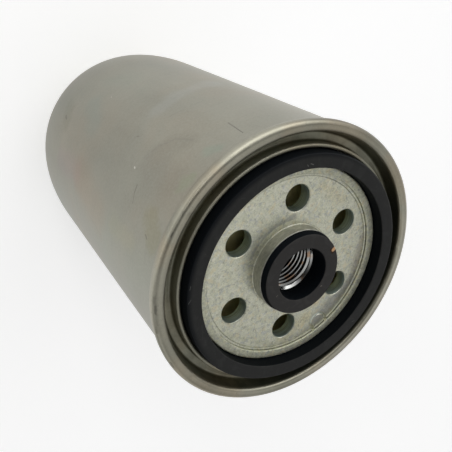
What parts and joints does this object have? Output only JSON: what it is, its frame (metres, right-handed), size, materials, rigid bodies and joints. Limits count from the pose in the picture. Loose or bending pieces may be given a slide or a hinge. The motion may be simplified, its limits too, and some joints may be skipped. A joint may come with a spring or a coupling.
{
  "type": "fuel filter",
  "caption": "Spin-on diesel fuel filter: bare steel can with a rolled rim, spangled base plate with inlet ports and a threaded hub, black rubber gasket and hub seal.",
  "frame": {"origin": "centre of the flat closed end", "axes": "+Z along the filter's axis, out of the open threaded end; one inlet port lies on -Y"},
  "size_m": [0.0876, 0.0876, 0.1445],
  "materials": {
    "can_steel": "satin drawn steel, lightly scuffed",
    "lid_steel": "satin",
    "seam_compound": "matte",
    "spangled_zinc": "mottled zinc coating, matte",
    "gasket_rubber": "moulded, satin",
    "seal_rubber": "moulded, satin",
    "washer_rubber": "matte",
    "cap_steel": "tinned, oil-yellowed",
    "plastisol": "cured potting, satin",
    "filter_paper": "resin-treated pleated paper",
    "clip_steel": "plain",
    "tube_steel": "plain",
    "seat_steel": "plain",
    "spring_steel": "oiled wire"
  },
  "bodies": {
    "housing": {"canister": "can_steel", "seaming_lid": "lid_steel", "seam_compound": "seam_compound", "base_plate": "spangled_zinc", "outer_gasket": "gasket_rubber", "hub_seal": "seal_rubber", "spring": "spring_steel"},
    "element": {"element_seal": "washer_rubber", "upper_end_cap": "cap_steel", "upper_potting": "plastisol", "pleated_media": "filter_paper", "media_seam_clip": "clip_steel", "centre_tube": "tube_steel", "lower_potting": "plastisol", "lower_end_cap": "cap_steel", "spring_seat": "seat_steel"}
  },
  "joints": [
    {"name": "element_float", "type": "slide", "parent": "housing", "child": "element", "axis": [0, 0, -1], "range_m": [0, 0.003], "stiffness_N_per_m": 4000, "springref_m": -0.006, "deforming": ["spring"]}
  ]
}
